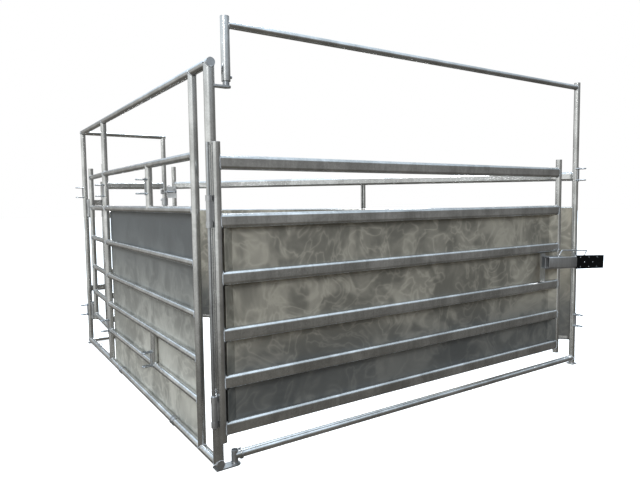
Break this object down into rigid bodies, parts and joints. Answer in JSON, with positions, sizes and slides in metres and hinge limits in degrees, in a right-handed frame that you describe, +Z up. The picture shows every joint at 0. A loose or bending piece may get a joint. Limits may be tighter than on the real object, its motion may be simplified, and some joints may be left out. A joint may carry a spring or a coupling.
{
  "type": "livestock panel gate",
  "caption": "Galvanised three-cornered livestock pen: sheeted swing gate with slide bolt under an overhead frame, side wall with man gate, long sheeted rear gate.",
  "frame": {"origin": "on the ground under the corner post's axis, on the underside of its foot plate", "axes": "+X along the front to the overhead frame's far post, +Y back along the side wall, +Z up"},
  "size_m": [3.8054, 3.6497, 2.532],
  "materials": {
    "tube": "hot-dip galvanised round and oval tube with pale zinc sheen",
    "sheet": "galvanised sheet, darker and cloudy with wipe marks",
    "fitting": "dull galvanised fittings",
    "bright": "bright zinc pins, eyes and bolts",
    "pad": "black plastic striking pad"
  },
  "bodies": {
    "pen_frame": {"corner_post": "tube", "slot_post": "tube", "strike_post": "tube", "rear_post": "tube", "side_top_bar": "tube", "side_bottom_bar": "tube", "side_rails": "tube", "side_sheet": "sheet", "side_mid_uprights": "tube", "side_bar_caps": "fitting", "bar_couplers": "fitting", "coupler_bolts": "bright", "ground_pin": "bright", "connector_plates": "fitting", "connector_eye_legs": "bright", "connector_eye_bends": "bright", "front_hinge_collars": "fitting", "side_hinge_collars": "fitting", "rear_hinge_collars": "fitting", "hinge_pins": "bright", "top_bracket": "fitting", "frame_pins": "bright", "foot_plates": "fitting", "over_sleeve": "tube", "over_caps": "fitting", "over_bar": "tube", "over_post": "tube", "over_bottom_bar": "tube", "over_bottom_sleeve": "fitting", "sleeve_screw": "bright", "latch_striker": "fitting", "hoop_bar": "tube", "hoop_post": "tube", "hoop_collar": "fitting", "hoop_lower_post": "tube", "hoop_bottom_bar": "tube", "infill_stile": "tube", "infill_rails": "tube", "rear_keeper": "fitting"},
    "front_gate": {"gate_posts": "tube", "gate_rails": "tube", "gate_sheet": "sheet", "gate_caps": "fitting", "gate_knuckles": "fitting", "latch_guide": "fitting"},
    "front_bolt": {"latch_bolt": "fitting", "latch_pad": "pad", "latch_screws": "bright", "latch_handle": "fitting"},
    "man_gate": {"man_gate_stiles": "tube", "man_gate_rails": "tube", "man_gate_knuckles": "fitting"},
    "rear_gate": {"rear_gate_stiles": "tube", "rear_gate_rails": "tube", "rear_gate_brace": "tube", "rear_gate_sheet": "sheet", "rear_gate_knuckles": "fitting", "rear_gate_latch_plate": "fitting"},
    "rear_bolt": {"rear_latch_bolt": "bright"}
  },
  "joints": [
    {"name": "front_gate_hinge", "type": "hinge", "parent": "pen_frame", "child": "front_gate", "pos_m": [-0.045, -0.065, 1], "axis": [0, 0, 1], "range_deg": [-100, 0]},
    {"name": "front_bolt_slide", "type": "slide", "parent": "front_gate", "child": "front_bolt", "axis": [0.9983, 0, -0.0576], "range_m": [-0.3, 0]},
    {"name": "man_gate_hinge", "type": "hinge", "parent": "pen_frame", "child": "man_gate", "pos_m": [0.02, 3.415, 1], "axis": [0, 0, 1], "range_deg": [-90, 60]},
    {"name": "rear_gate_hinge", "type": "hinge", "parent": "pen_frame", "child": "rear_gate", "pos_m": [3.51363, 0.02612, 1], "axis": [0, 0, 1], "range_deg": [-80, 0]},
    {"name": "rear_bolt_slide", "type": "slide", "parent": "rear_gate", "child": "rear_bolt", "axis": [0.6199, -0.7847, 0], "range_m": [-0.065, 0]}
  ]
}
